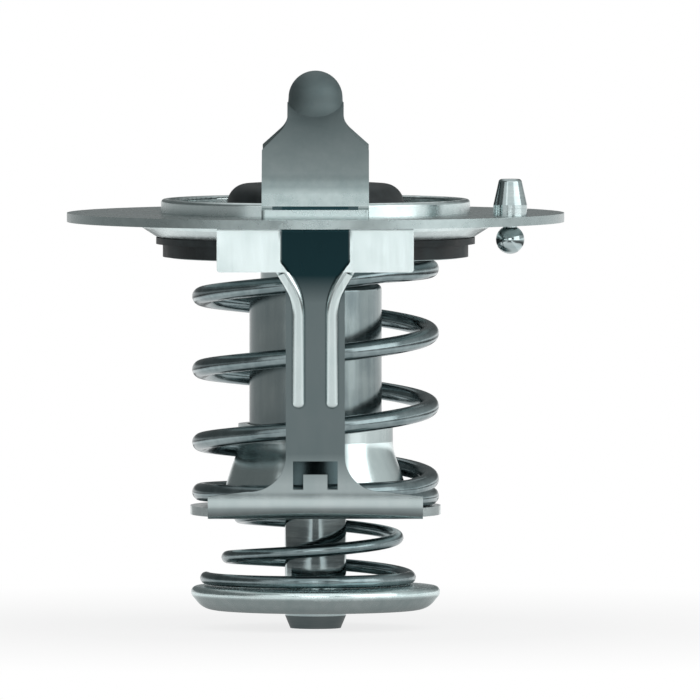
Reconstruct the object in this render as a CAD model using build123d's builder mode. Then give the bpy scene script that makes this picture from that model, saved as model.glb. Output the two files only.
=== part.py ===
"""Engine thermostat insert: a wax element in a pressed frame, with a bypass valve below.

Millimetres, +Z up. The origin is on the axis, at the lower face of the round flange.
The bridge and the lower frame stand in the plane x = 0, with one leg towards -Y and one
towards +Y. The valve is shut, as it is when cold.
"""

import os
from math import cos, pi, sin, sqrt

from build123d import *

os.makedirs("parts", exist_ok=True)

# Main sizes
flange_diameter = 56.0
bridge_rise = 16.0  # top of the dome above the flange's upper face
bypass_depth = 42.0  # lower edge of the bypass disc's rim below the flange's lower face
bypass_diameter = 28.0

# Sheet thicknesses
flange_sheet = 1.0
seat_sheet = 1.0
bridge_sheet = 1.0
frame_sheet = 1.0
valve_sheet = 1.0
case_sheet = 0.6
disc_sheet = 0.6

# Clearances
press_gap = 0.04  # between parts that are pressed or staked together
slot_gap = 0.15  # round a frame tab in its slots
seal_gap = 0.1  # between the rubber lip and its seat
slide_gap = 0.05  # round the piston in its guide
hub_gap = 0.25  # round the element's case in the frame's hub
stem_gap = 0.15  # round the stem in the bypass disc

# Seat ring: a collar above the flange and a folded seat lip below it
collar_diameter = 34.8
collar_rise = 1.55
lip_diameter = 35.9
lip_spread = 1.9
lip_depth = 1.65
lip_shoulder = 0.65

# Bridge over the valve
bridge_width = 12.0
foot_margin = 1.3  # of the foot beyond the frame's tab
heel_gap = 0.4  # between the riser and the seat ring's collar
riser_lean = 1.1
riser_height = 3.6
strap_pitch = 24.5  # degrees
foot_bend = 0.6
shoulder_bend = 2.2
foot_corner = 0.4
shoulder_corner = 0.4
neck_margin = 0.12  # of the strap's neck beside the dome
neck_bend = 8.0
waist_start = 11.6
waist_end = 5.7
dome_flare = 4.5  # of the drawn dome into the strap

# Piston and its guide
piston_diameter = 3.9
tip_gap = 0.02
pocket_gap = 0.1
piston_depth = 4.8  # lower end below the flange's lower face
nose_diameter = 9.6
nose_top = 6.0
guide_diameter = 12.4
guide_flange = 1.6
wiper_diameter = 6.0
wiper_height = 0.9
washer_height = 0.6
plug_diameter = 9.0
plug_neck = 0.8
retainer_diameter = 11.4
retainer_height = 0.9

# Valve: a pressed hat under a moulded rubber cover
valve_rim_diameter = 32.8
valve_depth = 3.05  # top of the steel rim below the flange's lower face
hat_foot_radius = 10.6
hat_top_radius = 8.9
hat_top = 3.6
hat_foot_bend = 1.2
hat_top_bend = 1.6
cover = 0.7
cover_lip_width = 1.7
cover_lip_height = 0.73
cover_rim_gap = 0.75  # from the lip's edge in to the bead round the steel rim
cover_rim_height = 1.45

# Wax element
case_diameter = 14.9
case_top = 7.0  # below the flange's lower face
case_lift = 4.95  # of its bottom above the frame's underside
case_corner = 1.2
crimp_width = 1.1
diaphragm_height = 0.8

# Bypass stem, its ring and the bypass disc
stem_diameter = 6.9
stem_head_diameter = 10.0
stem_head_height = 0.8
stem_tail = 2.1  # length below the bypass disc's lowest face
stem_tip_diameter = 5.7
stem_taper = 1.45
ring_thickness = 0.8
ring_diameter = 9.4
ring_groove_depth = 0.5
ring_opening = 50.0  # degrees
dish_depth = 1.7  # lowest face below the rim's lower edge
dish_round = 1.4  # from the rim in to the dish's floor
dish_bend = 2.4
rim_height = 0.9
roll_width = 3.3
roll_rise = 0.25
recess_diameter = 10.6

# Main spring
spring_wire = 2.0
spring_diameter = 25.8  # between wire centres
spring_turns = 4.6
spring_foot_turns = 1.15  # closed turns at the base plate
spring_head_turns = 0.5  # closed turns under the valve

# Bypass spring, a cone that widens downwards
bypass_wire = 1.4
bypass_top_diameter = 12.8
bypass_foot_diameter = 22.6
bypass_turns = 3.5
bypass_end_turns = 0.5  # flat turns at each end
bypass_end_pitch = 0.3
bypass_flare = 1.0

# Lower frame: base plate with a drawn hub, two legs and their heads
frame_depth = 32.95  # underside of the base plate below the flange's lower face
lobe_margin = 0.2  # of the base's round edge outside the spring
root_width = 24.1
root_gap = 0.4  # between the main spring and the legs
root_height = 3.15
root_fall = 0.55
root_bend = 2.4
root_spread = 7.6  # half the width where the leg's flare meets the root
leg_width = 6.6
leg_neck_width = 8.8  # behind the head
leg_neck_fall = 2.0
leg_spread_start = 7.2
head_gap = 0.8  # between the leg heads and the seat ring's lip
head_width = 22.0
head_height = 5.0
head_corner = 0.35
funnel_width = 7.8
funnel_throat = 5.2
funnel_fall = 3.3
tab_width = 9.0
tab_rise = 0.35  # of its staked end, above the bridge's foot
stake_lap = 0.15  # over the ends of the slot
ridge_spacing = 3.74
ridge_width = 1.55
ridge_height = 0.7
ridge_top = 4.6
ridge_flare_start = 7.4
ridge_bend = 7.0
ridge_flare_reach = 3.55
ridge_bottom = 20.4
window_width = 5.0
window_bottom = 29.55
window_height = 3.2
tongue_width = 2.7
tongue_height = 1.7
hub_height = 10.2
hub_neck = 2.0
hub_mouth_diameter = 21.6
hub_waist_diameter = 18.0
hub_waist = 4.2

points_per_turn = 12  # along each spring's wire

# Jiggle pin
jiggle_margin = 4.0  # from its centre to the flange's edge
jiggle_turn = -24.5  # degrees from +X
jiggle_hole_diameter = 2.2
jiggle_shank_diameter = 1.6
jiggle_head_diameter = 3.8
jiggle_head_top_diameter = 2.5
jiggle_head_height = 4.1
jiggle_skirt = 1.2
jiggle_ball_diameter = 3.2
jiggle_lift = 0.55

# Worked out from the sizes above
flange_radius = flange_diameter / 2
jiggle_radius = flange_radius - jiggle_margin
hole_radius = jiggle_hole_diameter / 2
collar_radius = collar_diameter / 2
collar_bore = collar_radius - seat_sheet
lip_radius = lip_diameter / 2
head_reach = lip_radius + lip_spread + head_gap + frame_sheet
foot_reach = head_reach + foot_margin
foot_heel = collar_radius + heel_gap + bridge_sheet
foot_top = flange_sheet + bridge_sheet
riser_top = foot_top + riser_height
riser_top_reach = foot_heel - riser_lean
strap_slope = sin(strap_pitch * pi / 180) / cos(strap_pitch * pi / 180)
strap_peak = riser_top + riser_top_reach * strap_slope
dome_top = flange_sheet + bridge_rise
piston_radius = piston_diameter / 2
pocket_radius = piston_radius + pocket_gap
dome_radius = pocket_radius + bridge_sheet
pocket_top = dome_top - bridge_sheet
tab_reach = head_reach - frame_sheet / 2
tab_top = foot_top + tab_rise
base_top = frame_sheet - frame_depth
base_bottom = -frame_depth
case_bottom = frame_depth - case_lift
rim_bottom = -bypass_depth
dish_bottom = rim_bottom - dish_depth
rim_radius = bypass_diameter / 2
roll_top = rim_bottom + rim_height + roll_rise
stem_radius = stem_diameter / 2
recess_top = dish_bottom + ring_thickness + press_gap
case_radius = case_diameter / 2
case_bore = case_radius - case_sheet
hub_bore = case_radius + hub_gap
spring_radius = spring_diameter / 2
lobe_radius = spring_radius + spring_wire / 2 + lobe_margin
root_reach = spring_radius + spring_wire / 2 + root_gap + frame_sheet
valve_rim_bottom = -valve_depth - valve_sheet
cover_lip_top = -lip_depth - seal_gap
hat_inside = hat_top - valve_sheet


# Flange: a flat ring with two slots for the frame's tabs and a small hole for the jiggle pin
with BuildPart() as flange:
    with BuildSketch():
        Circle(flange_radius)
        Circle(collar_radius + press_gap, mode=Mode.SUBTRACT)
        with Locations((0, tab_reach), (0, -tab_reach)):
            Rectangle(tab_width + 2 * slot_gap, frame_sheet + 2 * slot_gap, mode=Mode.SUBTRACT)
        with PolarLocations(jiggle_radius, 1, start_angle=jiggle_turn):
            Circle(hole_radius, mode=Mode.SUBTRACT)
    extrude(amount=flange_sheet)
flange.part.label = "flange"
export_step(flange.part, "parts/flange.step")


# Seat ring: one turn of sheet, straight above the flange and folded outwards under it
with BuildPart() as seat_ring:
    with BuildSketch(Plane.XZ):
        with BuildLine():
            Polyline(
                (collar_bore, flange_sheet + collar_rise),
                (collar_radius, flange_sheet + collar_rise),
                (collar_radius, 0),
                (lip_radius + lip_spread, 0),
                (lip_radius + lip_spread - lip_shoulder / 2, -lip_shoulder),
                (lip_radius, -lip_depth),
                (collar_bore + seat_sheet / 2, -lip_depth),
                (collar_bore, seat_sheet / 2 - lip_depth),
                close=True,
            )
        make_face()
    revolve(axis=Axis.Z)
    fillet(seat_ring.edges().group_by(Axis.Z)[-1], radius=seat_sheet * 0.4)
seat_ring.part.label = "seat_ring"
export_step(seat_ring.part, "parts/seat_ring.step")


# Bridge: one strap from foot to foot, narrowed at the middle, with a drawn dome for the piston
with BuildPart() as bridge:
    with BuildSketch(Plane.YZ):
        with BuildLine():
            FilletPolyline(
                (-foot_reach, foot_top),
                (-foot_heel, foot_top),
                (-riser_top_reach, riser_top),
                (0, strap_peak),
                (riser_top_reach, riser_top),
                (foot_heel, foot_top),
                (foot_reach, foot_top),
                radius=[foot_bend, shoulder_bend, shoulder_bend, shoulder_bend, foot_bend],
            )
            offset(amount=bridge_sheet, side=Side.RIGHT)
        make_face()
    extrude(amount=bridge_width / 2, both=True)
    with BuildSketch(Plane.XZ):
        with BuildLine():
            flare_reach = dome_radius + dome_flare
            flare_foot = strap_peak - flare_reach * strap_slope - bridge_sheet / 8
            dome_arc = RadiusArc((dome_radius, dome_top - dome_radius), (0, dome_top), -dome_radius)
            dome_foot = Polyline(
                dome_arc @ 1,
                (0, flare_foot - bridge_sheet / 2),
                (flare_reach, flare_foot - bridge_sheet / 2),
                (flare_reach, flare_foot),
            )
            Spline(dome_foot @ 1, dome_arc @ 0, tangents=[(-1, 1.5 * strap_slope), (0, 1)])
        make_face()
    revolve(axis=Axis.Z)
    with BuildSketch():
        with BuildLine():
            FilletPolyline(
                (0, foot_reach),
                (bridge_width / 2, foot_reach),
                (bridge_width / 2, waist_start),
                (dome_radius + neck_margin, waist_end),
                (dome_radius + neck_margin, 0),
                radius=[foot_corner, shoulder_corner, neck_bend],
            )
            mirror(about=Plane.YZ)
            mirror(about=Plane.XZ)
        make_face()
    extrude(amount=dome_top + bridge_sheet, mode=Mode.INTERSECT)
    with BuildSketch(Plane.XZ):
        with BuildLine():
            pocket_side = Line((pocket_radius, foot_top), (pocket_radius, pocket_top - pocket_radius))
            pocket_arc = RadiusArc(pocket_side @ 1, (0, pocket_top), -pocket_radius)
            Line(pocket_arc @ 1, (0, foot_top))
            Line((0, foot_top), pocket_side @ 0)
        make_face()
    revolve(axis=Axis.Z, mode=Mode.SUBTRACT)
    with BuildSketch():
        with Locations((0, tab_reach), (0, -tab_reach)):
            Rectangle(tab_width + 2 * slot_gap, frame_sheet + 2 * slot_gap)
    extrude(amount=foot_top, mode=Mode.SUBTRACT)
bridge.part.label = "bridge"
export_step(bridge.part, "parts/bridge.step")


# Lower frame: base plate, hub and two legs from one sheet, held by the staked ends of its tabs
leg_fall = frame_depth - root_height
leg_start = frame_sheet / 2
leg_lean = (head_reach - root_reach) / (leg_fall - leg_start)
leg_face = Plane(
    origin=(0, -head_reach, -leg_start), x_dir=(1, 0, 0), z_dir=(0, -1, -leg_lean)
)
with BuildPart() as lower_frame:
    with BuildSketch(Plane.YZ):
        with BuildLine():
            FilletPolyline(
                (-hub_mouth_diameter / 2, base_bottom),
                (-root_reach, base_bottom),
                (-root_reach, -leg_fall),
                (-head_reach, -leg_start),
                (-head_reach, tab_top),
                radius=[root_bend, 2 * root_bend, 3 * frame_sheet],
            )
            offset(amount=frame_sheet, side=Side.RIGHT)
        make_face()
    extrude(amount=root_width / 2, both=True)
    with BuildSketch(Plane.XZ):
        with BuildLine():
            stake_reach = tab_width / 2 + slot_gap + stake_lap
            leg_side = Polyline(
                (0, tab_top),
                (stake_reach, tab_top),
                (stake_reach, foot_top),
                (tab_width / 2, foot_top),
                (tab_width / 2, 0),
                (leg_neck_width / 2, 0),
                (leg_neck_width / 2, -head_height),
                (leg_width / 2, -head_height - leg_neck_fall),
                (leg_width / 2, leg_spread_start - frame_depth),
            )
            leg_flare = TangentArc(
                leg_side @ 1, (root_spread, root_height - frame_depth), tangent=(0, -1)
            )
            Polyline(
                leg_flare @ 1,
                (root_width / 2, root_height - root_fall - frame_depth),
                (root_width / 2, base_bottom),
                (0, base_bottom),
            )
            mirror(about=Plane.YZ)
        make_face()
    extrude(amount=2 * head_reach, both=True, mode=Mode.INTERSECT)
    for side in (-1, 1):
        ridge_x = side * ridge_spacing / 2
        with BuildLine(leg_face.offset(ridge_height - ridge_width / 2)) as ridge:
            FilletPolyline(
                (ridge_x, ridge_width / 2 - ridge_bottom),
                (ridge_x, -ridge_flare_start),
                (side * ridge_flare_reach, -ridge_top),
                radius=ridge_bend,
            )
        ridge_path = ridge.wires()[0]
        with BuildSketch(Plane(origin=ridge_path @ 0, z_dir=ridge_path % 0)):
            Circle(ridge_width / 2)
        sweep(path=ridge_path)
        with Locations(ridge_path @ 0):
            Sphere(ridge_width / 2)
    with BuildSketch(Plane.XZ.offset(head_reach - frame_sheet)):
        Rectangle(head_width, head_height, align=(Align.CENTER, Align.MAX))
        bottom_corners = vertices().group_by(Axis.Z)[0]
        fillet(bottom_corners, radius=head_corner)
    extrude(amount=frame_sheet)
    with BuildSketch(leg_face):
        with BuildLine():
            Polyline(
                (0, 0),
                (funnel_width / 2, 0),
                (funnel_width / 2, -funnel_fall),
                (funnel_throat / 2, -head_height),
                (0, -head_height),
            )
            mirror(about=Plane.YZ)
        make_face()
    extrude(amount=2 * frame_sheet, mode=Mode.SUBTRACT)
    with BuildSketch(Plane.XZ.offset(hub_mouth_diameter / 2 + frame_sheet)):
        with Locations((0, -window_bottom)):
            Rectangle(window_width, window_height, align=(Align.CENTER, Align.MIN))
            Rectangle(
                tongue_width, tongue_height, align=(Align.CENTER, Align.MIN), mode=Mode.SUBTRACT
            )
    extrude(amount=head_reach, mode=Mode.SUBTRACT)
    mirror(about=Plane.XZ)
    with BuildSketch(Plane.XY.offset(base_bottom)):
        Circle(lobe_radius)
        Rectangle(root_width, 2 * (root_reach - root_bend), mode=Mode.ADD)
        Rectangle(2 * lobe_radius, 2 * (root_reach - root_bend), mode=Mode.INTERSECT)
        Circle(hub_mouth_diameter / 2, mode=Mode.SUBTRACT)
    extrude(amount=frame_sheet)
    with BuildSketch(Plane.XZ):
        with BuildLine():
            hub_outer = hub_bore + frame_sheet
            hub_top = hub_height - frame_depth
            mouth_outer = hub_mouth_diameter / 2 + frame_sheet
            neck = Line((hub_outer, hub_top), (hub_outer, hub_top - hub_neck))
            flare = Spline(
                neck @ 1,
                (hub_waist_diameter / 2 + frame_sheet / 2, base_top + hub_waist),
                (mouth_outer, base_top),
                tangents=[(0, -1), (1, -0.5)],
            )
            lip_face = Line(flare @ 1, (hub_mouth_diameter / 2, base_bottom))
            inside = Spline(
                lip_face @ 1,
                (hub_waist_diameter / 2 - frame_sheet / 2, base_top + hub_waist),
                (hub_bore, hub_top - hub_neck),
                tangents=[(-0.6, 1), (0, 1)],
            )
            Line(inside @ 1, (hub_bore, hub_top))
            Line((hub_bore, hub_top), neck @ 0)
        make_face()
    revolve(axis=Axis.Z)
lower_frame.part.label = "lower_frame"
export_step(lower_frame.part, "parts/lower_frame.step")


# Piston: a ground pin with a round tip that bears in the dome
with BuildPart() as piston:
    with BuildSketch(Plane.XZ):
        with BuildLine():
            pin_top = pocket_top - tip_gap
            pin_side = Line((piston_radius, -piston_depth), (piston_radius, pin_top - piston_radius))
            pin_arc = RadiusArc(pin_side @ 1, (0, pin_top), -piston_radius)
            Line(pin_arc @ 1, (0, -piston_depth))
            Line((0, -piston_depth), pin_side @ 0)
        make_face()
    revolve(axis=Axis.Z)
piston.part.label = "piston"
export_step(piston.part, "parts/piston.step")


def wire_path(bottom, top, turns, foot, head, closed, start_turn, radius_at):
    """Points of a coil from its foot up, whose end turns close at their own small pitch."""
    rise = top - bottom
    active = turns - foot - head
    pitch = (rise - closed * (foot + head) / 2) / active
    steps = round(turns * points_per_turn)
    points = []
    for step in range(steps + 1):
        turn = turns * step / steps
        low = min(turn, foot)
        middle = min(max(turn - foot, 0), active)
        high = max(turn - foot - active, 0)
        height = closed * low**2 / (2 * foot) + pitch * middle
        height = height + closed * (high - high**2 / (2 * head))
        angle = 2 * pi * (start_turn + turn)
        radius = radius_at(turn)
        points.append((radius * cos(angle), radius * sin(angle), bottom + height))
    return points


# Main spring: holds the valve up against its seat, from the frame's base plate
with BuildPart() as main_spring:
    with BuildLine():
        main_coil = Spline(
            *wire_path(
                base_top + spring_wire / 2,
                valve_rim_bottom - spring_wire / 2,
                spring_turns,
                spring_foot_turns,
                spring_head_turns,
                spring_wire * 1.02,
                0.75,
                lambda turn: spring_radius,
            )
        )
    with BuildSketch(Plane(origin=main_coil @ 0, z_dir=main_coil % 0)):
        Circle(spring_wire / 2)
    sweep(path=main_coil)
main_spring.part.label = "main_spring"
export_step(main_spring.part, "parts/main_spring.step")


# Valve plate: a steel hat whose rim carries the spring and whose crown sits on the guide
hat_path = [
    (valve_rim_diameter / 2, -valve_depth),
    (hat_foot_radius, -valve_depth),
    (hat_top_radius, hat_top),
    (nose_diameter / 2 + press_gap, hat_top),
]
with BuildPart() as valve_plate:
    with BuildSketch(Plane.XZ):
        with BuildLine():
            FilletPolyline(*hat_path, radius=[hat_foot_bend, hat_top_bend])
            offset(amount=valve_sheet, side=Side.LEFT)
        make_face()
    revolve(axis=Axis.Z)
valve_plate.part.label = "valve_plate"
export_step(valve_plate.part, "parts/valve_plate.step")


# Valve cover: rubber moulded over the hat, with a thick lip that closes on the seat ring
with BuildPart() as valve_cover:
    with BuildSketch(Plane.XZ):
        with BuildLine():
            FilletPolyline(*hat_path, radius=[hat_foot_bend, hat_top_bend])
            offset(amount=cover, side=Side.RIGHT)
        make_face()
        with Locations((lip_radius, cover_lip_top)):
            Rectangle(cover_lip_width, cover_lip_height, align=(Align.MAX, Align.MAX))
        with BuildLine():
            bead_outside = lip_radius - cover_rim_gap
            bead_inside = valve_rim_diameter / 2
            bead_bottom = cover_lip_top - cover_lip_height - cover_rim_height
            Polyline(
                (bead_inside, cover_lip_top),
                (bead_outside, cover_lip_top),
                (bead_outside, bead_bottom),
                (bead_inside, bead_bottom),
                close=True,
            )
        make_face()
    revolve(axis=Axis.Z)
valve_cover.part.label = "valve_cover"
export_step(valve_cover.part, "parts/valve_cover.step")


# Guide: turned piece, held by the case's crimp, that takes the hat's load at its nose
guide_flange_top = -case_top - case_sheet
guide_foot = guide_flange_top - guide_flange
guide_bore = piston_radius + slide_gap
plug_top = -piston_depth - washer_height
plug_shoulder = plug_top - plug_neck
with BuildPart() as piston_guide:
    with BuildSketch(Plane.XZ):
        with BuildLine():
            Polyline(
                (guide_bore, nose_top - wiper_height),
                (wiper_diameter / 2, nose_top - wiper_height),
                (wiper_diameter / 2, nose_top),
                (nose_diameter / 2, nose_top),
                (nose_diameter / 2, hat_inside),
                (guide_diameter / 2, hat_inside),
                (guide_diameter / 2, guide_flange_top),
                (case_bore - press_gap, guide_flange_top),
                (case_bore - press_gap, guide_foot),
                (plug_diameter / 2, guide_foot),
                (guide_bore, plug_shoulder),
                close=True,
            )
        make_face()
    revolve(axis=Axis.Z)
    nose_rim = piston_guide.edges().group_by(Axis.Z)[-1].sort_by(SortBy.RADIUS)[-1]
    chamfer(nose_rim, length=wiper_height / 3)
piston_guide.part.label = "piston_guide"
export_step(piston_guide.part, "parts/piston_guide.step")


# Wiper: rubber ring that keeps dirt out of the guide's bore
with BuildPart() as guide_wiper:
    with BuildSketch(Plane.XY.offset(nose_top - wiper_height)):
        Circle(wiper_diameter / 2 - press_gap)
        Circle(guide_bore, mode=Mode.SUBTRACT)
    extrude(amount=wiper_height)
guide_wiper.part.label = "guide_wiper"
export_step(guide_wiper.part, "parts/guide_wiper.step")


# Hat retainer: ring pressed over the guide's nose, above the hat
with BuildPart() as hat_retainer:
    with BuildSketch(Plane.XY.offset(hat_top + cover)):
        Circle(retainer_diameter / 2)
        Circle(nose_diameter / 2 + press_gap, mode=Mode.SUBTRACT)
    extrude(amount=retainer_height)
    retainer_rim = hat_retainer.edges().group_by(Axis.Z)[-1].sort_by(SortBy.RADIUS)[-1]
    fillet(retainer_rim, radius=retainer_height / 2)
hat_retainer.part.label = "hat_retainer"
export_step(hat_retainer.part, "parts/hat_retainer.step")


# Anti-creep washer: hard disc between the piston and the rubber plug
with BuildPart() as plug_washer:
    with BuildSketch(Plane.XY.offset(plug_top)):
        Circle(piston_radius)
    extrude(amount=washer_height)
plug_washer.part.label = "plug_washer"
export_step(plug_washer.part, "parts/plug_washer.step")


# Rubber plug: carries the diaphragm's push up the guide's funnel to the piston
with BuildPart() as rubber_plug:
    with BuildSketch(Plane.XZ):
        with BuildLine():
            Polyline(
                (0, plug_top),
                (piston_radius, plug_top),
                (piston_radius, plug_shoulder),
                (plug_diameter / 2 - slide_gap, guide_foot),
                (0, guide_foot),
                close=True,
            )
        make_face()
    revolve(axis=Axis.Z)
rubber_plug.part.label = "rubber_plug"
export_step(rubber_plug.part, "parts/rubber_plug.step")


# Diaphragm: rubber disc that seals the wax into the case
with BuildPart() as diaphragm:
    with BuildSketch(Plane.XY.offset(guide_foot - diaphragm_height)):
        Circle(case_bore - press_gap)
    extrude(amount=diaphragm_height)
diaphragm.part.label = "diaphragm"
export_step(diaphragm.part, "parts/diaphragm.step")


# Wax charge: fills the case below the diaphragm
wax_top = guide_foot - diaphragm_height
wax_bottom = case_sheet - case_bottom
with BuildPart() as wax_charge:
    with BuildSketch(Plane.XY.offset(wax_bottom)):
        Circle(case_bore - press_gap)
    extrude(amount=wax_top - wax_bottom)
    wax_foot = wax_charge.edges().group_by(Axis.Z)[0]
    fillet(wax_foot, radius=case_corner - case_sheet / 2)
wax_charge.part.label = "wax_charge"
export_step(wax_charge.part, "parts/wax_charge.step")


# Element case: drawn cup, crimped inwards over the guide's flange
with BuildPart() as element_case:
    with BuildSketch(Plane.XZ):
        with BuildLine():
            FilletPolyline(
                (0, -case_bottom),
                (case_radius, -case_bottom),
                (case_radius, -case_top),
                (case_radius - crimp_width, -case_top),
                radius=[case_corner, case_sheet * 1.1],
            )
            offset(amount=case_sheet, side=Side.LEFT)
        make_face()
    revolve(axis=Axis.Z)
element_case.part.label = "element_case"
export_step(element_case.part, "parts/element_case.step")


# Bypass stem: headed pin welded under the case, grooved for its ring and tapered at the end
stem_end = dish_bottom - stem_tail
groove_top = recess_top
groove_bottom = groove_top - ring_thickness - press_gap
groove_radius = stem_radius - ring_groove_depth
with BuildPart() as bypass_stem:
    with BuildSketch(Plane.XZ):
        with BuildLine():
            Polyline(
                (0, -case_bottom),
                (stem_head_diameter / 2, -case_bottom),
                (stem_head_diameter / 2, -case_bottom - stem_head_height),
                (stem_radius, -case_bottom - stem_head_height),
                (stem_radius, groove_top),
                (groove_radius, groove_top),
                (groove_radius, groove_bottom),
                (stem_radius, groove_bottom),
                (stem_radius, stem_end + stem_taper),
                (stem_tip_diameter / 2, stem_end),
                (0, stem_end),
                close=True,
            )
        make_face()
    revolve(axis=Axis.Z)
bypass_stem.part.label = "bypass_stem"
export_step(bypass_stem.part, "parts/bypass_stem.step")


# Stem ring: open spring clip in the stem's groove, under the bypass disc
with BuildPart() as stem_ring:
    with BuildSketch(Plane.XY.offset(groove_top - ring_thickness)):
        Circle(ring_diameter / 2)
        Circle(groove_radius + press_gap, mode=Mode.SUBTRACT)
        with BuildLine():
            opening_y = ring_diameter * sin(ring_opening / 2 * pi / 180)
            opening_x = ring_diameter * cos(ring_opening / 2 * pi / 180)
            Polyline((0, 0), (opening_x, opening_y), (opening_x, -opening_y), close=True)
        make_face(mode=Mode.SUBTRACT)
    extrude(amount=ring_thickness)
stem_ring.part.label = "stem_ring"
export_step(stem_ring.part, "parts/stem_ring.step")


# Bypass disc: a dished pressing whose rim is rolled back in as the spring's seat
with BuildPart() as bypass_disc:
    with BuildSketch(Plane.XZ):
        with BuildLine():
            FilletPolyline(
                (stem_radius + stem_gap, recess_top),
                (recess_diameter / 2, recess_top),
                (recess_diameter / 2 + dish_depth / 3, dish_bottom),
                (rim_radius - dish_round, dish_bottom),
                (rim_radius, rim_bottom),
                (rim_radius, rim_bottom + rim_height),
                (rim_radius - roll_width, roll_top),
                radius=[disc_sheet / 3, disc_sheet, dish_bend, disc_sheet, disc_sheet],
            )
            offset(amount=disc_sheet, side=Side.LEFT)
        make_face()
    revolve(axis=Axis.Z)
bypass_disc.part.label = "bypass_disc"
export_step(bypass_disc.part, "parts/bypass_disc.step")


def cone_radius(turn):
    """Wire-centre radius of the bypass spring, with its foot turn flared outwards."""
    narrowing = (bypass_foot_diameter - bypass_top_diameter) / 2 / bypass_turns
    flare_share = max(0, 1 - 2 * turn)
    return bypass_foot_diameter / 2 - narrowing * turn + bypass_flare * flare_share**2


# Bypass spring: from the case down to the disc's rolled rim
with BuildPart() as bypass_spring:
    with BuildLine():
        bypass_coil = Spline(
            *wire_path(
                roll_top + bypass_wire / 2,
                -case_bottom - bypass_wire / 2,
                bypass_turns,
                bypass_end_turns,
                bypass_end_turns,
                bypass_end_pitch,
                0.5,
                cone_radius,
            )
        )
    with BuildSketch(Plane(origin=bypass_coil @ 0, z_dir=bypass_coil % 0)):
        Circle(bypass_wire / 2)
    sweep(path=bypass_coil)
bypass_spring.part.label = "bypass_spring"
export_step(bypass_spring.part, "parts/bypass_spring.step")


# Jiggle pin: a weight above the flange on a thin shank, which lets air bleed past
jiggle_x = jiggle_radius * cos(jiggle_turn * pi / 180)
jiggle_y = jiggle_radius * sin(jiggle_turn * pi / 180)
ball_radius = jiggle_ball_diameter / 2
ball_centre = -jiggle_lift - sqrt(ball_radius**2 - hole_radius**2)
jiggle_origin = (jiggle_x, jiggle_y, 0)
with BuildPart() as jiggle_pin:
    with BuildSketch(Plane(origin=jiggle_origin, x_dir=(1, 0, 0), z_dir=(0, -1, 0))):
        with BuildLine():
            shank_end = ball_centre - ball_radius / 2
            Polyline(
                (0, shank_end),
                (jiggle_shank_diameter / 2, shank_end),
                (jiggle_shank_diameter / 2, flange_sheet),
                (jiggle_head_diameter / 2, flange_sheet),
                (jiggle_head_diameter / 2, flange_sheet + jiggle_skirt),
                (jiggle_head_top_diameter / 2, flange_sheet + jiggle_head_height),
                (0, flange_sheet + jiggle_head_height),
                close=True,
            )
        make_face()
    revolve(axis=Axis((jiggle_x, jiggle_y, 0), (0, 0, 1)))
    head_rim = jiggle_pin.edges().group_by(Axis.Z)[-1]
    fillet(head_rim, radius=jiggle_shank_diameter / 4)
jiggle_pin.part.label = "jiggle_pin"
export_step(jiggle_pin.part, "parts/jiggle_pin.step")


# Jiggle ball: riveted on the shank, closes the hole from below when the engine pumps
with BuildPart() as jiggle_ball:
    with Locations((jiggle_x, jiggle_y, ball_centre)):
        Sphere(ball_radius)
    with BuildSketch(Plane(origin=(jiggle_x, jiggle_y, shank_end))):
        Circle(jiggle_shank_diameter / 2)
    extrude(amount=jiggle_ball_diameter, mode=Mode.SUBTRACT)
jiggle_ball.part.label = "jiggle_ball"
export_step(jiggle_ball.part, "parts/jiggle_ball.step")
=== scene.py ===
# %% [markdown]
# An engine thermostat sits between the engine and the radiator. A round flange is clamped in a
# housing, a wax element pushes the valve open when the coolant is hot, and a big spring shuts it
# again. Almost everything is pressed from sheet steel or wound from spring wire, so this lesson is
# mostly about steel: one metal, shown with several finishes. The solids come from the CAD model,
# which gives every piece its true size and place, and the cells below dress them.

from functools import partial
from math import pi, radians

import bpy
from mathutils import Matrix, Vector


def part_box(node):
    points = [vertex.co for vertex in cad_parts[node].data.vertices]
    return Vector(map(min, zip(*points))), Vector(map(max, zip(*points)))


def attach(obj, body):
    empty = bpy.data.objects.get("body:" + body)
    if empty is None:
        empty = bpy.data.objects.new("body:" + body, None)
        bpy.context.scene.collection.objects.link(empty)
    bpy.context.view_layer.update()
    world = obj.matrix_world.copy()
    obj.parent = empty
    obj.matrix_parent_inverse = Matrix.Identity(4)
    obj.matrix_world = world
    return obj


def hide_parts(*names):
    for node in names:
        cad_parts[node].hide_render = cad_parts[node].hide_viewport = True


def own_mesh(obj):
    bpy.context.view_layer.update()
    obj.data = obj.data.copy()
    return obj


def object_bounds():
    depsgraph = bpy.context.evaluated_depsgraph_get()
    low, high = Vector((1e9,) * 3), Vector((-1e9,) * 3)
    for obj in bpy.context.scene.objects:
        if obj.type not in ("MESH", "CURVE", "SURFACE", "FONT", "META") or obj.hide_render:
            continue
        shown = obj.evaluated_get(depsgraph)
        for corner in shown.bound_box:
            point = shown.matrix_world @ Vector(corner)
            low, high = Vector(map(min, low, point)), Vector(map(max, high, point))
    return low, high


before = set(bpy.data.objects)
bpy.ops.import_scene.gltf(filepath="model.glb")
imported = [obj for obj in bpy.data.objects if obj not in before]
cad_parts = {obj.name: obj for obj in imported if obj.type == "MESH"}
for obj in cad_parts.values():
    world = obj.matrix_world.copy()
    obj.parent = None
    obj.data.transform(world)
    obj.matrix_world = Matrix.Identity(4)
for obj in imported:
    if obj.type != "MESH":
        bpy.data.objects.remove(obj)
cad_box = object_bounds()

# %% [markdown]
# A product photograph like this one is taken from far away with a long lens, so that the round
# flange looks almost flat, from a hand's width above its level. The camera stands two and a half
# metres in front and looks down by about two degrees. In Blender the width of the view is the
# sensor's width times the distance, over the focal length.

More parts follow.
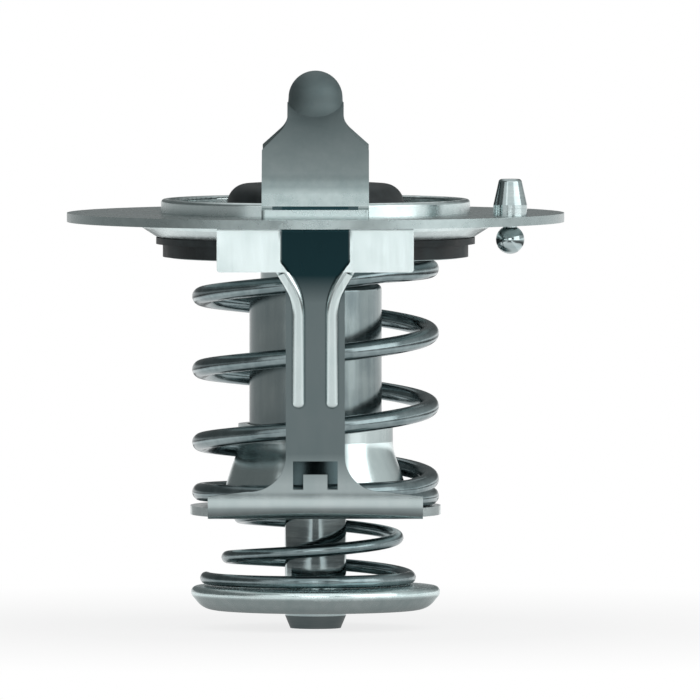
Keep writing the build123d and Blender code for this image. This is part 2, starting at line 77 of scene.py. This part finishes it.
# %% Camera
camera_distance = 2.5
camera_aside = 0.00388
camera_height = 0.0799
degrees_down = 2.162
sensor_width = 36.0
focal_length = 1142.5

camera_data = bpy.data.cameras.new("camera")
camera_data.sensor_width = sensor_width
camera_data.lens = focal_length
camera_data.clip_start = 0.1
camera_data.clip_end = 60.0
camera = bpy.data.objects.new("camera", camera_data)
camera.location = (camera_aside, -camera_distance, camera_height)
camera.rotation_euler = (radians(90 - degrees_down), 0, 0)
bpy.context.scene.collection.objects.link(camera)
bpy.context.scene.camera = camera
view_width = sensor_width * camera_distance / focal_length
print("the view is", round(1000 * view_width, 1), "mm wide")

# %% [markdown]
# Every material is built from nodes. Each helper below adds a few nodes to a tree, and most of
# them return the socket that carries the result, so that a finish reads like a recipe. The patterns
# use the Object coordinates, which for these pieces are plain metres in the model's own frame.

# %% Node helpers
def new_finish(name):
    """An empty material with its shader, and the tree to add nodes to."""
    material = bpy.data.materials.new(name)
    material.use_nodes = True
    tree = material.node_tree
    return material, tree, tree.nodes["Principled BSDF"]


def place(tree, stretch=(1, 1, 1)):
    """Object coordinates, times a number along each axis."""
    coordinates = tree.nodes.new("ShaderNodeTexCoord")
    node = tree.nodes.new("ShaderNodeVectorMath")
    node.operation = "MULTIPLY"
    node.inputs[1].default_value = stretch
    tree.links.new(coordinates.outputs["Object"], node.inputs[0])
    return node.outputs[0]


def axes(tree):
    """The three Object coordinates, as values."""
    split = tree.nodes.new("ShaderNodeSeparateXYZ")
    tree.links.new(place(tree), split.inputs[0])
    return split.outputs["X"], split.outputs["Y"], split.outputs["Z"]


def noise(tree, vector, scale, detail, rough):
    """Soft random patches, scale of them to the metre."""
    node = tree.nodes.new("ShaderNodeTexNoise")
    node.inputs["Scale"].default_value = scale
    node.inputs["Detail"].default_value = detail
    node.inputs["Roughness"].default_value = rough
    tree.links.new(vector, node.inputs["Vector"])
    return node.outputs["Fac"]


def spread(tree, value, low, high, low_out, high_out):
    """Maps a value from one range to another, and stops at the ends."""
    node = tree.nodes.new("ShaderNodeMapRange")
    for socket, number in zip(node.inputs[1:5], (low, high, low_out, high_out)):
        socket.default_value = number
    tree.links.new(value, node.inputs["Value"])
    return node.outputs["Result"]


def math_node(tree, operation, first, second=0.0):
    """A value worked out from one or two others, each of them a number or a socket."""
    node = tree.nodes.new("ShaderNodeMath")
    node.operation = operation
    for socket, value in zip(node.inputs, (first, second)):
        if isinstance(value, (int, float)):
            socket.default_value = value
        else:
            tree.links.new(value, socket)
    return node.outputs[0]


def two_colours(tree, share, first, second):
    """A colour between two, by a share from 0 to 1."""
    node = tree.nodes.new("ShaderNodeMix")
    node.data_type = "RGBA"
    for label, colour in (("A", first), ("B", second)):
        if isinstance(colour, tuple):
            node.inputs[label].default_value = (*colour, 1)
        else:
            tree.links.new(colour, node.inputs[label])
    tree.links.new(share, node.inputs["Factor"])
    return node.outputs["Result"]


def relief(tree, shader, height, depth):
    """A small relief of that depth in metres, seen through the surface's normal."""
    node = tree.nodes.new("ShaderNodeBump")
    node.inputs["Distance"].default_value = depth
    tree.links.new(height, node.inputs["Height"])
    tree.links.new(node.outputs["Normal"], shader.inputs["Normal"])


print("node helpers ready")

# %% [markdown]
# Bare steel has a fine grain, faint clouds where the oil stood, and short scratches from handling.
# The grain is fine noise, stretched where the piece was rolled, drawn or turned in one direction.
# The clouds are wide soft noise, and the scratches are a second fine noise of which only the peaks
# are kept. The grain and the clouds move the colour a little and the roughness more, and the
# scratches are rougher still, because that is how the eye tells bare steel from grey paint.

# %% Steel finish
clouds_per_metre = 260
colour_swing = (0.7, 1.3)
gloss_swing = (0.75, 1.25)
grain_depth = 1.5e-6
scratch_stretch = 2.2
scratch_coarseness = 0.6
scratch_peaks = (0.70, 0.80)
scratch_depth = 0.3
scratch_roughness = 0.03
# The dark blue-green that painted shade turns the steel to.
shade_tint = (0.012, 0.034, 0.040)


def steel(name, dark, light, rough, grain=(1, 1, 1), scale=900, painted_shade=None, darker=0, rougher=0):
    """Bare steel between two colours, with rough as the range of its roughness.

    There are scale grains to the metre, and grain stretches them. Where a mask of painted shade is
    given, it draws a share from the place. By that share the steel turns to a dark blue-green
    painted shade, darker times as much, and gets rougher.
    """
    material, tree, shader = new_finish(name)
    math = partial(math_node, tree)
    fine = noise(tree, place(tree, grain), scale, detail=3, rough=0.6)
    cloud = noise(tree, place(tree), clouds_per_metre, detail=3, rough=0.5)
    scratch_grain = [scratch_stretch * stretch for stretch in grain]
    scratch_scale = scratch_coarseness * scale
    scratch = noise(tree, place(tree, scratch_grain), scratch_scale, detail=2, rough=0.4)
    nick = spread(tree, scratch, *scratch_peaks, 0, 1)
    pattern = math("ADD", fine, cloud)
    colour = two_colours(tree, spread(tree, pattern, *colour_swing, 0, 1), dark, light)
    gloss = spread(tree, pattern, *gloss_swing, *rough)
    gloss = math("ADD", gloss, math("MULTIPLY", nick, scratch_roughness))
    # Painted shade: by the mask's share the colour goes towards the dark blue-green, and the steel
    # gets rougher.
    if painted_shade:
        share = painted_shade(tree)
        colour = two_colours(tree, math("MULTIPLY", share, darker), colour, shade_tint)
        gloss = math("ADD", gloss, math("MULTIPLY", share, rougher))
    shader.inputs["Metallic"].default_value = 1.0
    tree.links.new(colour, shader.inputs["Base Color"])
    tree.links.new(gloss, shader.inputs["Roughness"])
    height = math("SUBTRACT", fine, math("MULTIPLY", nick, scratch_depth))
    relief(tree, shader, height, grain_depth)
    return material


print("the steel recipe is ready, with", clouds_per_metre, "clouds to the metre")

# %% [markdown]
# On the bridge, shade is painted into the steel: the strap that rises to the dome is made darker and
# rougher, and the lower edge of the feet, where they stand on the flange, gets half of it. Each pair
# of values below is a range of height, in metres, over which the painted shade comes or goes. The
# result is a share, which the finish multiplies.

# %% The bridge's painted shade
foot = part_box("bridge")[0].z
foot_edge = (foot - 0.0001, foot + 0.0004)
strap_start = (foot + 0.0026, foot + 0.0034)
strap_to_dome = (foot + 0.0034, foot + 0.0105)
half_shade = 0.50


def painted_dome_shade(tree):
    """Painted shade up the strap to the dome, and half of it on the lower edge of the feet."""
    math = partial(math_node, tree)
    z = axes(tree)[2]
    feet = spread(tree, z, *foot_edge, half_shade, 0)
    strap = spread(tree, z, *strap_start, 0, half_shade)
    dome = spread(tree, z, *strap_to_dome, 0, half_shade)
    return math("ADD", math("ADD", strap, feet), dome)


print("the bridge gets dull above", round(1000 * strap_start[0], 1), "mm")

# %% [markdown]
# On the lower frame, shade is painted on the legs below their heads, while the heads and the crests
# of the ridges stay bright. The darkest painted shade is in the funnel between the ridges, on the
# tabs in their slots and on the hub where it shows through the window above the root. Again each
# pair of
# values is a range in metres: of the height, of the distance from the middle, or of how far a place
# stands out of the leg.

# %% The frame's painted shade
under_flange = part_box("flange")[0].z
tab_start = (under_flange - 0.0004, under_flange)
head_end = (under_flange - 0.0052, under_flange - 0.0075)
funnel_rise = (under_flange - 0.0085, under_flange - 0.0050)
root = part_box("lower_frame")[0].z
root_fade = (root + 0.00395, root + 0.00745)
between_ridges = (0.0037, 0.0042)
leg_lean = 0.215
ridge_crest = (0.02180, 0.02200)
window_side = (0.0030, 0.0040)
hub_edge = (0.0120, 0.0135)
# How much painted shade the funnel, the root and the window get, and the tabs in their slots.
funnel_share = 0.28
root_share = 0.58
window_share = 1.15
tab_share = 1.2


def painted_leg_shade(tree):
    """Painted shade on the legs below their heads, on the tabs, and on what the window shows."""
    math = partial(math_node, tree)
    x, y, z = axes(tree)
    side = math("ABSOLUTE", x)
    reach = math("ABSOLUTE", y)
    middle_strip = spread(tree, side, *between_ridges, 1, 0)
    below_head = spread(tree, z, *head_end, 0, 1)
    funnel = math("MULTIPLY", middle_strip, spread(tree, z, *funnel_rise, 0, funnel_share))
    share = math("ADD", math("MAXIMUM", middle_strip, below_head), funnel)
    share = math("MULTIPLY", share, spread(tree, z, *root_fade, root_share, 1))
    out_of_leg = math("SUBTRACT", reach, math("MULTIPLY", z, leg_lean))
    share = math("MULTIPLY", share, spread(tree, out_of_leg, *ridge_crest, 1, 0))
    share = math("MAXIMUM", share, spread(tree, z, *tab_start, 0, tab_share))
    past_hub = spread(tree, reach, *hub_edge, 0, 1)
    window = spread(tree, side, *window_side, window_share, 0)
    in_window = math("SUBTRACT", window, past_hub)
    return math("MAXIMUM", math("MULTIPLY", share, past_hub), in_window)


print("the legs get dull below", round(1000 * head_end[0], 1), "mm")

# %% [markdown]
# The same steel looks different on each piece. The collar, the frame and the disc are bright, the
# case and the wire are dark, and the turned pins and stem are the smoothest. The grain follows how
# each piece was made: along the strap and the legs, up the drawn case, round the turned pieces.

# %% The steels
along_strap = (1, 0.12, 1)
along_legs = (1, 1, 0.12)
up_the_case = (1, 1, 0.08)
round_the_axis = (0.06, 0.06, 1)

flange_steel = steel("flange steel", (0.29, 0.35, 0.35), (0.41, 0.48, 0.48), (0.24, 0.34))
collar_steel = steel("collar steel", (0.50, 0.59, 0.59), (0.66, 0.74, 0.74), (0.20, 0.28))
# The bridge gets painted shade up its strap and dome, and on the lower edge of its feet.
bridge_steel = steel(
    "bridge steel", (0.35, 0.43, 0.43), (0.46, 0.54, 0.54), (0.24, 0.32),
    grain=along_strap, painted_shade=painted_dome_shade, darker=0.66, rougher=0.35,
)
# The frame gets painted shade on its legs and tabs, and on the hub seen through the window.
frame_steel = steel(
    "frame steel", (0.60, 0.70, 0.70), (0.68, 0.77, 0.77), (0.16, 0.21),
    grain=along_legs, painted_shade=painted_leg_shade, darker=0.80, rougher=0.05,
)
hat_steel = steel("hat steel", (0.28, 0.35, 0.36), (0.42, 0.50, 0.50), (0.28, 0.38))
case_steel = steel(
    "case steel", (0.19, 0.24, 0.25), (0.32, 0.38, 0.38), (0.15, 0.23),
    grain=up_the_case, scale=700,
)
turned_steel = steel(
    "turned steel", (0.36, 0.44, 0.45), (0.50, 0.57, 0.57), (0.12, 0.18),
    grain=round_the_axis, scale=2600,
)
stem_steel = steel(
    "stem steel", (0.29, 0.36, 0.37), (0.41, 0.48, 0.48), (0.06, 0.10),
    grain=round_the_axis, scale=2600,
)
disc_steel = steel("disc steel", (0.60, 0.73, 0.73), (0.75, 0.86, 0.86), (0.22, 0.30))
wire_steel = steel("wire steel", (0.15, 0.20, 0.21), (0.27, 0.33, 0.34), (0.17, 0.24))
print("steel finishes:", [m.name for m in bpy.data.materials if "steel" in m.name])

# %% [markdown]
# The rubber that is moulded over the valve is nearly black. A clean moulding is never quite even:
# the mould's skin leaves a faint grain, and handling leaves paler, drier patches. Rubber is no
# metal, so its colour is its own and the reflections stay weak. The wax and the hard washer inside
# the element get the same recipe with their own colours.

# %% Rubber, wax and washer
skin_per_metre = 2800
patches_per_metre = 280
pale_patches = (0.42, 0.68)
rough_patches = (0.35, 0.7)
skin_depth = 1.2e-5
weak_shine = 0.35


def soft_finish(name, dark, light, rough):
    """A matt finish with a fine skin and paler dry patches."""
    material, tree, shader = new_finish(name)
    skin = noise(tree, place(tree), skin_per_metre, detail=3, rough=0.6)
    dry = noise(tree, place(tree), patches_per_metre, detail=4, rough=0.6)
    share = spread(tree, dry, *pale_patches, 0, 1)
    tree.links.new(two_colours(tree, share, dark, light), shader.inputs["Base Color"])
    tree.links.new(spread(tree, dry, *rough_patches, *rough), shader.inputs["Roughness"])
    shader.inputs["Specular IOR Level"].default_value = weak_shine
    relief(tree, shader, math_node(tree, "ADD", skin, dry), skin_depth)
    return material


black_rubber = soft_finish("black rubber", (0.009, 0.013, 0.014), (0.030, 0.040, 0.042), (0.38, 0.6))
brown_wax = soft_finish("brown wax", (0.42, 0.22, 0.11), (0.55, 0.33, 0.18), (0.4, 0.6))
white_washer = soft_finish("white washer", (0.74, 0.74, 0.70), (0.84, 0.84, 0.81), (0.35, 0.5))
print("soft finishes:", black_rubber.name, brown_wax.name, white_washer.name)

# %% [markdown]
# The solids already carry the normals of the true surfaces, so round walls look round and folds
# look crisp without more work. Each solid only gets its finish.

# %% Dress the solids
def dress(node, material):
    """Gives a CAD solid its finish."""
    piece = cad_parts[node]
    for material_slot in piece.material_slots:
        material_slot.material = material
    return piece


finishes = {
    "flange": (flange_steel, "sheet_steel"),
    "seat_ring": (collar_steel, "sheet_steel"),
    "bridge": (bridge_steel, "sheet_steel"),
    "lower_frame": (frame_steel, "sheet_steel"),
    "piston": (turned_steel, "turned_steel"),
    "element_case": (case_steel, "case_steel"),
    "wax_charge": (brown_wax, "wax"),
    "diaphragm": (black_rubber, "black_rubber"),
    "rubber_plug": (black_rubber, "black_rubber"),
    "plug_washer": (white_washer, "hard_washer"),
    "piston_guide": (turned_steel, "turned_steel"),
    "guide_wiper": (black_rubber, "black_rubber"),
    "valve_plate": (hat_steel, "sheet_steel"),
    "valve_cover": (black_rubber, "black_rubber"),
    "hat_retainer": (turned_steel, "turned_steel"),
    "bypass_stem": (stem_steel, "turned_steel"),
    "stem_ring": (wire_steel, "spring_steel"),
    "bypass_disc": (disc_steel, "sheet_steel"),
    "jiggle_pin": (turned_steel, "turned_steel"),
    "jiggle_ball": (turned_steel, "turned_steel"),
}
for node_name, (finish, slot_name) in finishes.items():
    dressed = dress(node_name, finish)
    print(dressed.name, len(dressed.data.polygons))

# %% [markdown]
# Both springs are wound from round wire. A coil follows a rule, so Geometry Nodes draws it: a
# straight line is cut into many points, each point is sent to its angle, radius and height, and a
# small circle is carried along the result. A squared end turn lies almost flat: its pitch grows
# from nothing to the small end pitch. The turns between share the rest of the height.

# %% How a coil climbs and widens
def coil_height(math, size, turn):
    """The height of the wire's middle line, after so many turns."""
    def half_square(part, whole):
        return math("DIVIDE", math("MULTIPLY", part, part), math("MULTIPLY", whole, 2.0))

    end_pitch = size["End pitch"]
    ends = math("ADD", size["Foot turns"], size["Head turns"])
    active = math("SUBTRACT", size["Turns"], ends)
    rise = math("SUBTRACT", math("SUBTRACT", size["Top"], size["Bottom"]), size["Wire"])
    rise_of_ends = math("MULTIPLY", math("MULTIPLY", end_pitch, ends), 0.5)
    pitch = math("DIVIDE", math("SUBTRACT", rise, rise_of_ends), active)
    in_foot = math("MINIMUM", turn, size["Foot turns"])
    past_foot = math("SUBTRACT", turn, size["Foot turns"])
    in_middle = math("MINIMUM", math("MAXIMUM", past_foot, 0.0), active)
    in_head = math("MAXIMUM", math("SUBTRACT", past_foot, active), 0.0)
    foot_climb = half_square(in_foot, size["Foot turns"])
    head_climb = math("SUBTRACT", in_head, half_square(in_head, size["Head turns"]))
    end_climb = math("MULTIPLY", end_pitch, math("ADD", foot_climb, head_climb))
    climb = math("ADD", end_climb, math("MULTIPLY", pitch, in_middle))
    return math("ADD", climb, math("ADD", size["Bottom"], math("MULTIPLY", size["Wire"], 0.5)))


def coil_radius(math, size, turn, along):
    """From the foot's radius to the head's, with a flare over the first half turn."""
    narrowing = math("MULTIPLY", math("SUBTRACT", size["Head radius"], size["Foot radius"]), along)
    flare_share = math("MAXIMUM", math("SUBTRACT", 1.0, math("MULTIPLY", turn, 2.0)), 0.0)
    flare = math("MULTIPLY", math("MULTIPLY", flare_share, flare_share), size["Flare"])
    return math("ADD", math("ADD", size["Foot radius"], narrowing), flare)


print("coil rules ready: height and radius by the turn")

# %% [markdown]
# The tree has a named input for each size of a spring, so that one tree winds both. It ends with
# Realize Instances and Set Material, because only real faces with a material are exported.

# %% A tree that winds a coil
points_along = 360
sides_of_wire = 28


def winding_tree():
    """Builds the node tree once; both springs use it with their own sizes."""
    tree = bpy.data.node_groups.new("coil", "GeometryNodeTree")
    tree.interface.new_socket("Geometry", in_out="OUTPUT", socket_type="NodeSocketGeometry")
    for label in (
        "Wire", "Bottom", "Top", "Turns", "Foot turns", "Head turns",
        "End pitch", "Start turn", "Foot radius", "Head radius", "Flare",
    ):
        tree.interface.new_socket(label, in_out="INPUT", socket_type="NodeSocketFloat")
    tree.interface.new_socket("Finish", in_out="INPUT", socket_type="NodeSocketMaterial")
    group_in = tree.nodes.new("NodeGroupInput")
    group_out = tree.nodes.new("NodeGroupOutput")
    size = group_in.outputs
    math = partial(math_node, tree)
    link = tree.links.new

    line = tree.nodes.new("GeometryNodeCurvePrimitiveLine")
    cut = tree.nodes.new("GeometryNodeResampleCurve")
    cut.inputs["Count"].default_value = points_along
    link(line.outputs["Curve"], cut.inputs["Curve"])

    along = tree.nodes.new("GeometryNodeSplineParameter").outputs["Factor"]
    turn = math("MULTIPLY", along, size["Turns"])
    radius = coil_radius(math, size, turn, along)
    angle = math("MULTIPLY", math("ADD", turn, size["Start turn"]), 2 * pi)
    point = tree.nodes.new("ShaderNodeCombineXYZ")
    link(math("MULTIPLY", radius, math("COSINE", angle)), point.inputs["X"])
    link(math("MULTIPLY", radius, math("SINE", angle)), point.inputs["Y"])
    link(coil_height(math, size, turn), point.inputs["Z"])
    send = tree.nodes.new("GeometryNodeSetPosition")
    link(cut.outputs["Curve"], send.inputs["Geometry"])
    link(point.outputs[0], send.inputs["Position"])

    section = tree.nodes.new("GeometryNodeCurvePrimitiveCircle")
    section.inputs["Resolution"].default_value = sides_of_wire
    link(math("MULTIPLY", size["Wire"], 0.5), section.inputs["Radius"])
    sweep = tree.nodes.new("GeometryNodeCurveToMesh")
    sweep.inputs["Fill Caps"].default_value = True
    link(send.outputs["Geometry"], sweep.inputs["Curve"])
    link(section.outputs["Curve"], sweep.inputs["Profile Curve"])

    smooth = tree.nodes.new("GeometryNodeSetShadeSmooth")
    link(sweep.outputs["Mesh"], smooth.inputs["Geometry"])
    realize = tree.nodes.new("GeometryNodeRealizeInstances")
    link(smooth.outputs["Geometry"], realize.inputs["Geometry"])
    paint = tree.nodes.new("GeometryNodeSetMaterial")
    link(realize.outputs["Geometry"], paint.inputs["Geometry"])
    link(size["Finish"], paint.inputs["Material"])
    link(paint.outputs["Geometry"], group_out.inputs["Geometry"])
    return tree


coil_tree = winding_tree()
print("coil tree nodes:", len(coil_tree.nodes))

# %% [markdown]
# The tree's inputs are set by their identifiers, before Blender first evaluates the object. The
# evaluated result is then kept as a plain mesh, so that nothing in the finished piece is live.

# %% Wind both springs
def wind(name, node, material, body, **sizes):
    """One spring: sizes are the tree's inputs, in metres and turns."""
    carrier = bpy.data.objects.new(name + "_carrier", bpy.data.meshes.new(name + "_carrier"))
    bpy.context.scene.collection.objects.link(carrier)
    modifier = carrier.modifiers.new("coil", "NODES")
    modifier.node_group = coil_tree
    identifiers = {
        item.name: item.identifier
        for item in coil_tree.interface.items_tree
        if item.item_type == "SOCKET" and item.in_out == "INPUT"
    }
    for label, value in sizes.items():
        modifier[identifiers[label.replace("_", " ")]] = value
    modifier[identifiers["Finish"]] = material
    evaluated = carrier.evaluated_get(bpy.context.evaluated_depsgraph_get())
    mesh = bpy.data.meshes.new_from_object(evaluated)
    bpy.data.objects.remove(carrier)
    piece = bpy.data.objects.new(name, mesh)
    bpy.context.scene.collection.objects.link(piece)
    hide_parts(node)
    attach(piece, body)
    print(name, "faces", len(mesh.polygons), "materials", [m.name for m in mesh.materials])
    return piece


main_low, main_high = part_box("main_spring")
main_coil = wind(
    "main_coil", "main_spring", wire_steel, "frame",
    Wire=0.002, Bottom=main_low.z, Top=main_high.z, Turns=4.6, Foot_turns=1.15, Head_turns=0.5,
    End_pitch=0.00204, Start_turn=0.75, Foot_radius=0.0129, Head_radius=0.0129, Flare=0.0,
)
bypass_low, bypass_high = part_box("bypass_spring")
bypass_coil = wind(
    "bypass_coil", "bypass_spring", wire_steel, "element",
    Wire=0.0014, Bottom=bypass_low.z, Top=bypass_high.z, Turns=3.5, Foot_turns=0.5, Head_turns=0.5,
    End_pitch=0.0003, Start_turn=0.5, Foot_radius=0.0113, Head_radius=0.0064, Flare=0.001,
)
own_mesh(main_coil)
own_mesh(bypass_coil)

# %% [markdown]
# Steel only looks like steel if it has something to reflect. The world is white where the camera
# sees it, as paper behind a product is. For reflections it keeps a horizon that is dim at the far
# left, white in the middle and brighter at the right. It falls off to a dark grey above, paler at
# the right and at the very top, so round pieces get dark flanks beside their bright streaks.

# %% World
white = (1.0, 1.0, 1.0)
dim_left = (0.42, 0.43, 0.43)
bright_right = (2.0, 2.02, 2.02)
dark_above = (0.13, 0.14, 0.14)
pale_above_right = (0.60, 0.62, 0.62)
pale_top = (0.8, 0.8, 0.8)
soft_room_light = (0.7, 0.7, 0.7)
left_side = (-0.8, -0.1)
right_side = (0.3, 0.9)
over_horizon = (0.01, 0.10)
near_top = (0.60, 0.90)

world = bpy.data.worlds.new("studio")
bpy.context.scene.world = world
world.use_nodes = True
sky = world.node_tree
rays = sky.nodes.new("ShaderNodeLightPath")
direction = sky.nodes.new("ShaderNodeTexCoord")
parts = sky.nodes.new("ShaderNodeSeparateXYZ")
sky.links.new(direction.outputs["Generated"], parts.inputs[0])
from_left = spread(sky, parts.outputs["X"], *left_side, 0, 1)
to_right = spread(sky, parts.outputs["X"], *right_side, 0, 1)
upwards = spread(sky, parts.outputs["Z"], *over_horizon, 0, 1)
to_top = spread(sky, parts.outputs["Z"], *near_top, 0, 1)
horizon = two_colours(sky, from_left, dim_left, white)
horizon = two_colours(sky, to_right, horizon, bright_right)
above = two_colours(sky, to_right, dark_above, pale_above_right)
room = two_colours(sky, upwards, horizon, above)
room = two_colours(sky, to_top, room, pale_top)
seen = two_colours(sky, rays.outputs["Is Camera Ray"], room, white)
lit = two_colours(sky, rays.outputs["Is Diffuse Ray"], seen, soft_room_light)
sky.links.new(lit, sky.nodes["Background"].inputs["Color"])
print("world nodes:", len(sky.nodes))

# %% [markdown]
# Five softboxes do the lighting. Two stand in front, one low and one high, and light the flat
# plates and the folded edges. One at the left and a stronger one at the right light the flanks of
# the round pieces and draw streaks on the wire, and the last hangs behind and lights the sloping
# strap from above.

# %% Softboxes
part_middle = (0, 0, -0.012)


def softbox(name, place_at, width, height, power):
    """A rectangular area lamp that faces the thermostat's middle."""
    lamp = bpy.data.lights.new(name, "AREA")
    lamp.shape = "RECTANGLE"
    lamp.size = width
    lamp.size_y = height
    lamp.energy = power
    box = bpy.data.objects.new(name, lamp)
    box.location = place_at
    aim = Vector(part_middle) - Vector(place_at)
    box.rotation_euler = aim.to_track_quat("-Z", "Y").to_euler()
    bpy.context.scene.collection.objects.link(box)


softbox("front_high", (0.0, -0.62, 0.46), 0.80, 0.50, 1.2)
softbox("front_low", (0.0, -0.90, 0.115), 0.40, 0.20, 0.7)
softbox("left", (-0.50, -0.64, 0.20), 0.50, 0.45, 0.55)
softbox("right", (0.62, -0.40, 0.25), 0.70, 0.55, 2.0)
softbox("back_high", (0.0, 0.55, 0.62), 0.70, 0.50, 0.5)

# %% [markdown]
# The object stands on a plain pale floor that meets the white background. Near the object a fifth
# of the floor's look is ordinary diffuse paper, so it takes a soft shadow, and ten centimetres out
# it has turned into the white of the background. The metal mirrors a busier table. It has rings
# around the object, from dark right under it to bright, dark, grey, and white far away. It is
# dimmer at the left, and two white cards on it draw the pair of streaks down the stem.

# %% The table that the metal mirrors
table_rings = (
    (0.0, 0.20), (0.014, 0.25), (0.03, 0.9), (0.12, 1.0), (0.14, 0.12),
    (0.25, 0.12), (0.33, 0.45), (0.60, 0.50), (0.80, 1.0),
)
card_inner_edge = (0.045, 0.055)
card_outer_edge = (0.09, 0.11)
card_fades = (0.30, 0.50)
card_brightness = 1.2
table_left = (-0.60, -0.05)
left_share = 0.55


def mirrored_table(tree, distance):
    """How bright the metal sees the floor."""
    math = partial(math_node, tree)
    rings = tree.nodes.new("ShaderNodeValToRGB")
    while len(rings.color_ramp.elements) < len(table_rings):
        rings.color_ramp.elements.new(0.5)
    for element, (radius, grey) in zip(rings.color_ramp.elements, table_rings):
        element.position = radius
        element.color = (grey, grey, grey, 1)
    tree.links.new(distance, rings.inputs[0])
    x = axes(tree)[0]
    side = math("ABSOLUTE", x)
    inner = spread(tree, side, *card_inner_edge, 0, card_brightness)
    outer = spread(tree, side, *card_outer_edge, 1, 0)
    near = spread(tree, distance, *card_fades, 1, 0)
    cards = math("MULTIPLY", math("MULTIPLY", inner, outer), near)
    brighter = math("MAXIMUM", rings.outputs["Color"], cards)
    return math("MULTIPLY", brighter, spread(tree, x, *table_left, left_share, 1))


print("table rings out to", table_rings[-1][0], "m")

# %% [markdown]
# The paper mixes a diffuse shader with a glow of strength 1, which is white. The camera sees more
# of the glow further out. The metal sees only the glow, at the table's brightness, and a ray
# through glass would see it too. Rays of diffuse light meet the plain paper alone, so the glow
# doesn't light the object.

# %% Floor paper
paper_grey = (0.60, 0.60, 0.60, 1)
paper_roughness = 0.9
glow_near = 0.80
glow_grows = (0.03, 0.10)


def pale_paper():
    """Paper that glows white to the camera further out, and shows the metal its own table."""
    material, tree, paper = new_finish("floor paper")
    math = partial(math_node, tree)
    paper.inputs["Base Color"].default_value = paper_grey
    paper.inputs["Roughness"].default_value = paper_roughness
    paper.inputs["Specular IOR Level"].default_value = 0.0
    length = tree.nodes.new("ShaderNodeVectorMath")
    length.operation = "LENGTH"
    tree.links.new(place(tree), length.inputs[0])
    distance = length.outputs["Value"]
    rays = tree.nodes.new("ShaderNodeLightPath")
    from_metal = rays.outputs["Is Glossy Ray"]
    glow = tree.nodes.new("ShaderNodeEmission")
    missing = math("SUBTRACT", 1, mirrored_table(tree, distance))
    strength = math("SUBTRACT", 1, math("MULTIPLY", from_metal, missing))
    tree.links.new(strength, glow.inputs["Strength"])
    glow_seen = spread(tree, distance, *glow_grows, glow_near, 1)
    share = math("MULTIPLY", glow_seen, rays.outputs["Is Camera Ray"])
    share = math("ADD", share, from_metal)
    share = math("ADD", share, rays.outputs["Is Transmission Ray"])
    mixed = tree.nodes.new("ShaderNodeMixShader")
    tree.links.new(share, mixed.inputs[0])
    tree.links.new(paper.outputs[0], mixed.inputs[1])
    tree.links.new(glow.outputs[0], mixed.inputs[2])
    tree.links.new(mixed.outputs[0], tree.nodes["Material Output"].inputs["Surface"])
    return material


floor_paper = pale_paper()
print("floor paper nodes:", len(floor_paper.node_tree.nodes))

# %% [markdown]
# The floor itself is one big round sheet. The object stands on its stem, and the stem goes down as
# the valve opens, so the floor rides with the element.

# %% Floor
floor_radius = 14.0
bpy.ops.mesh.primitive_circle_add(vertices=96, radius=floor_radius, fill_type="NGON")
floor = bpy.context.object
floor.name = "floor"
floor.location = (0, 0, cad_box[0].z)
floor.data.materials.append(floor_paper)
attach(floor, "element")
print("floor at", round(floor.location.z, 4))

# %% [markdown]
# At the end the colours are shown through the Standard view transform.

# %% View transform
bpy.context.scene.view_settings.view_transform = "Standard"
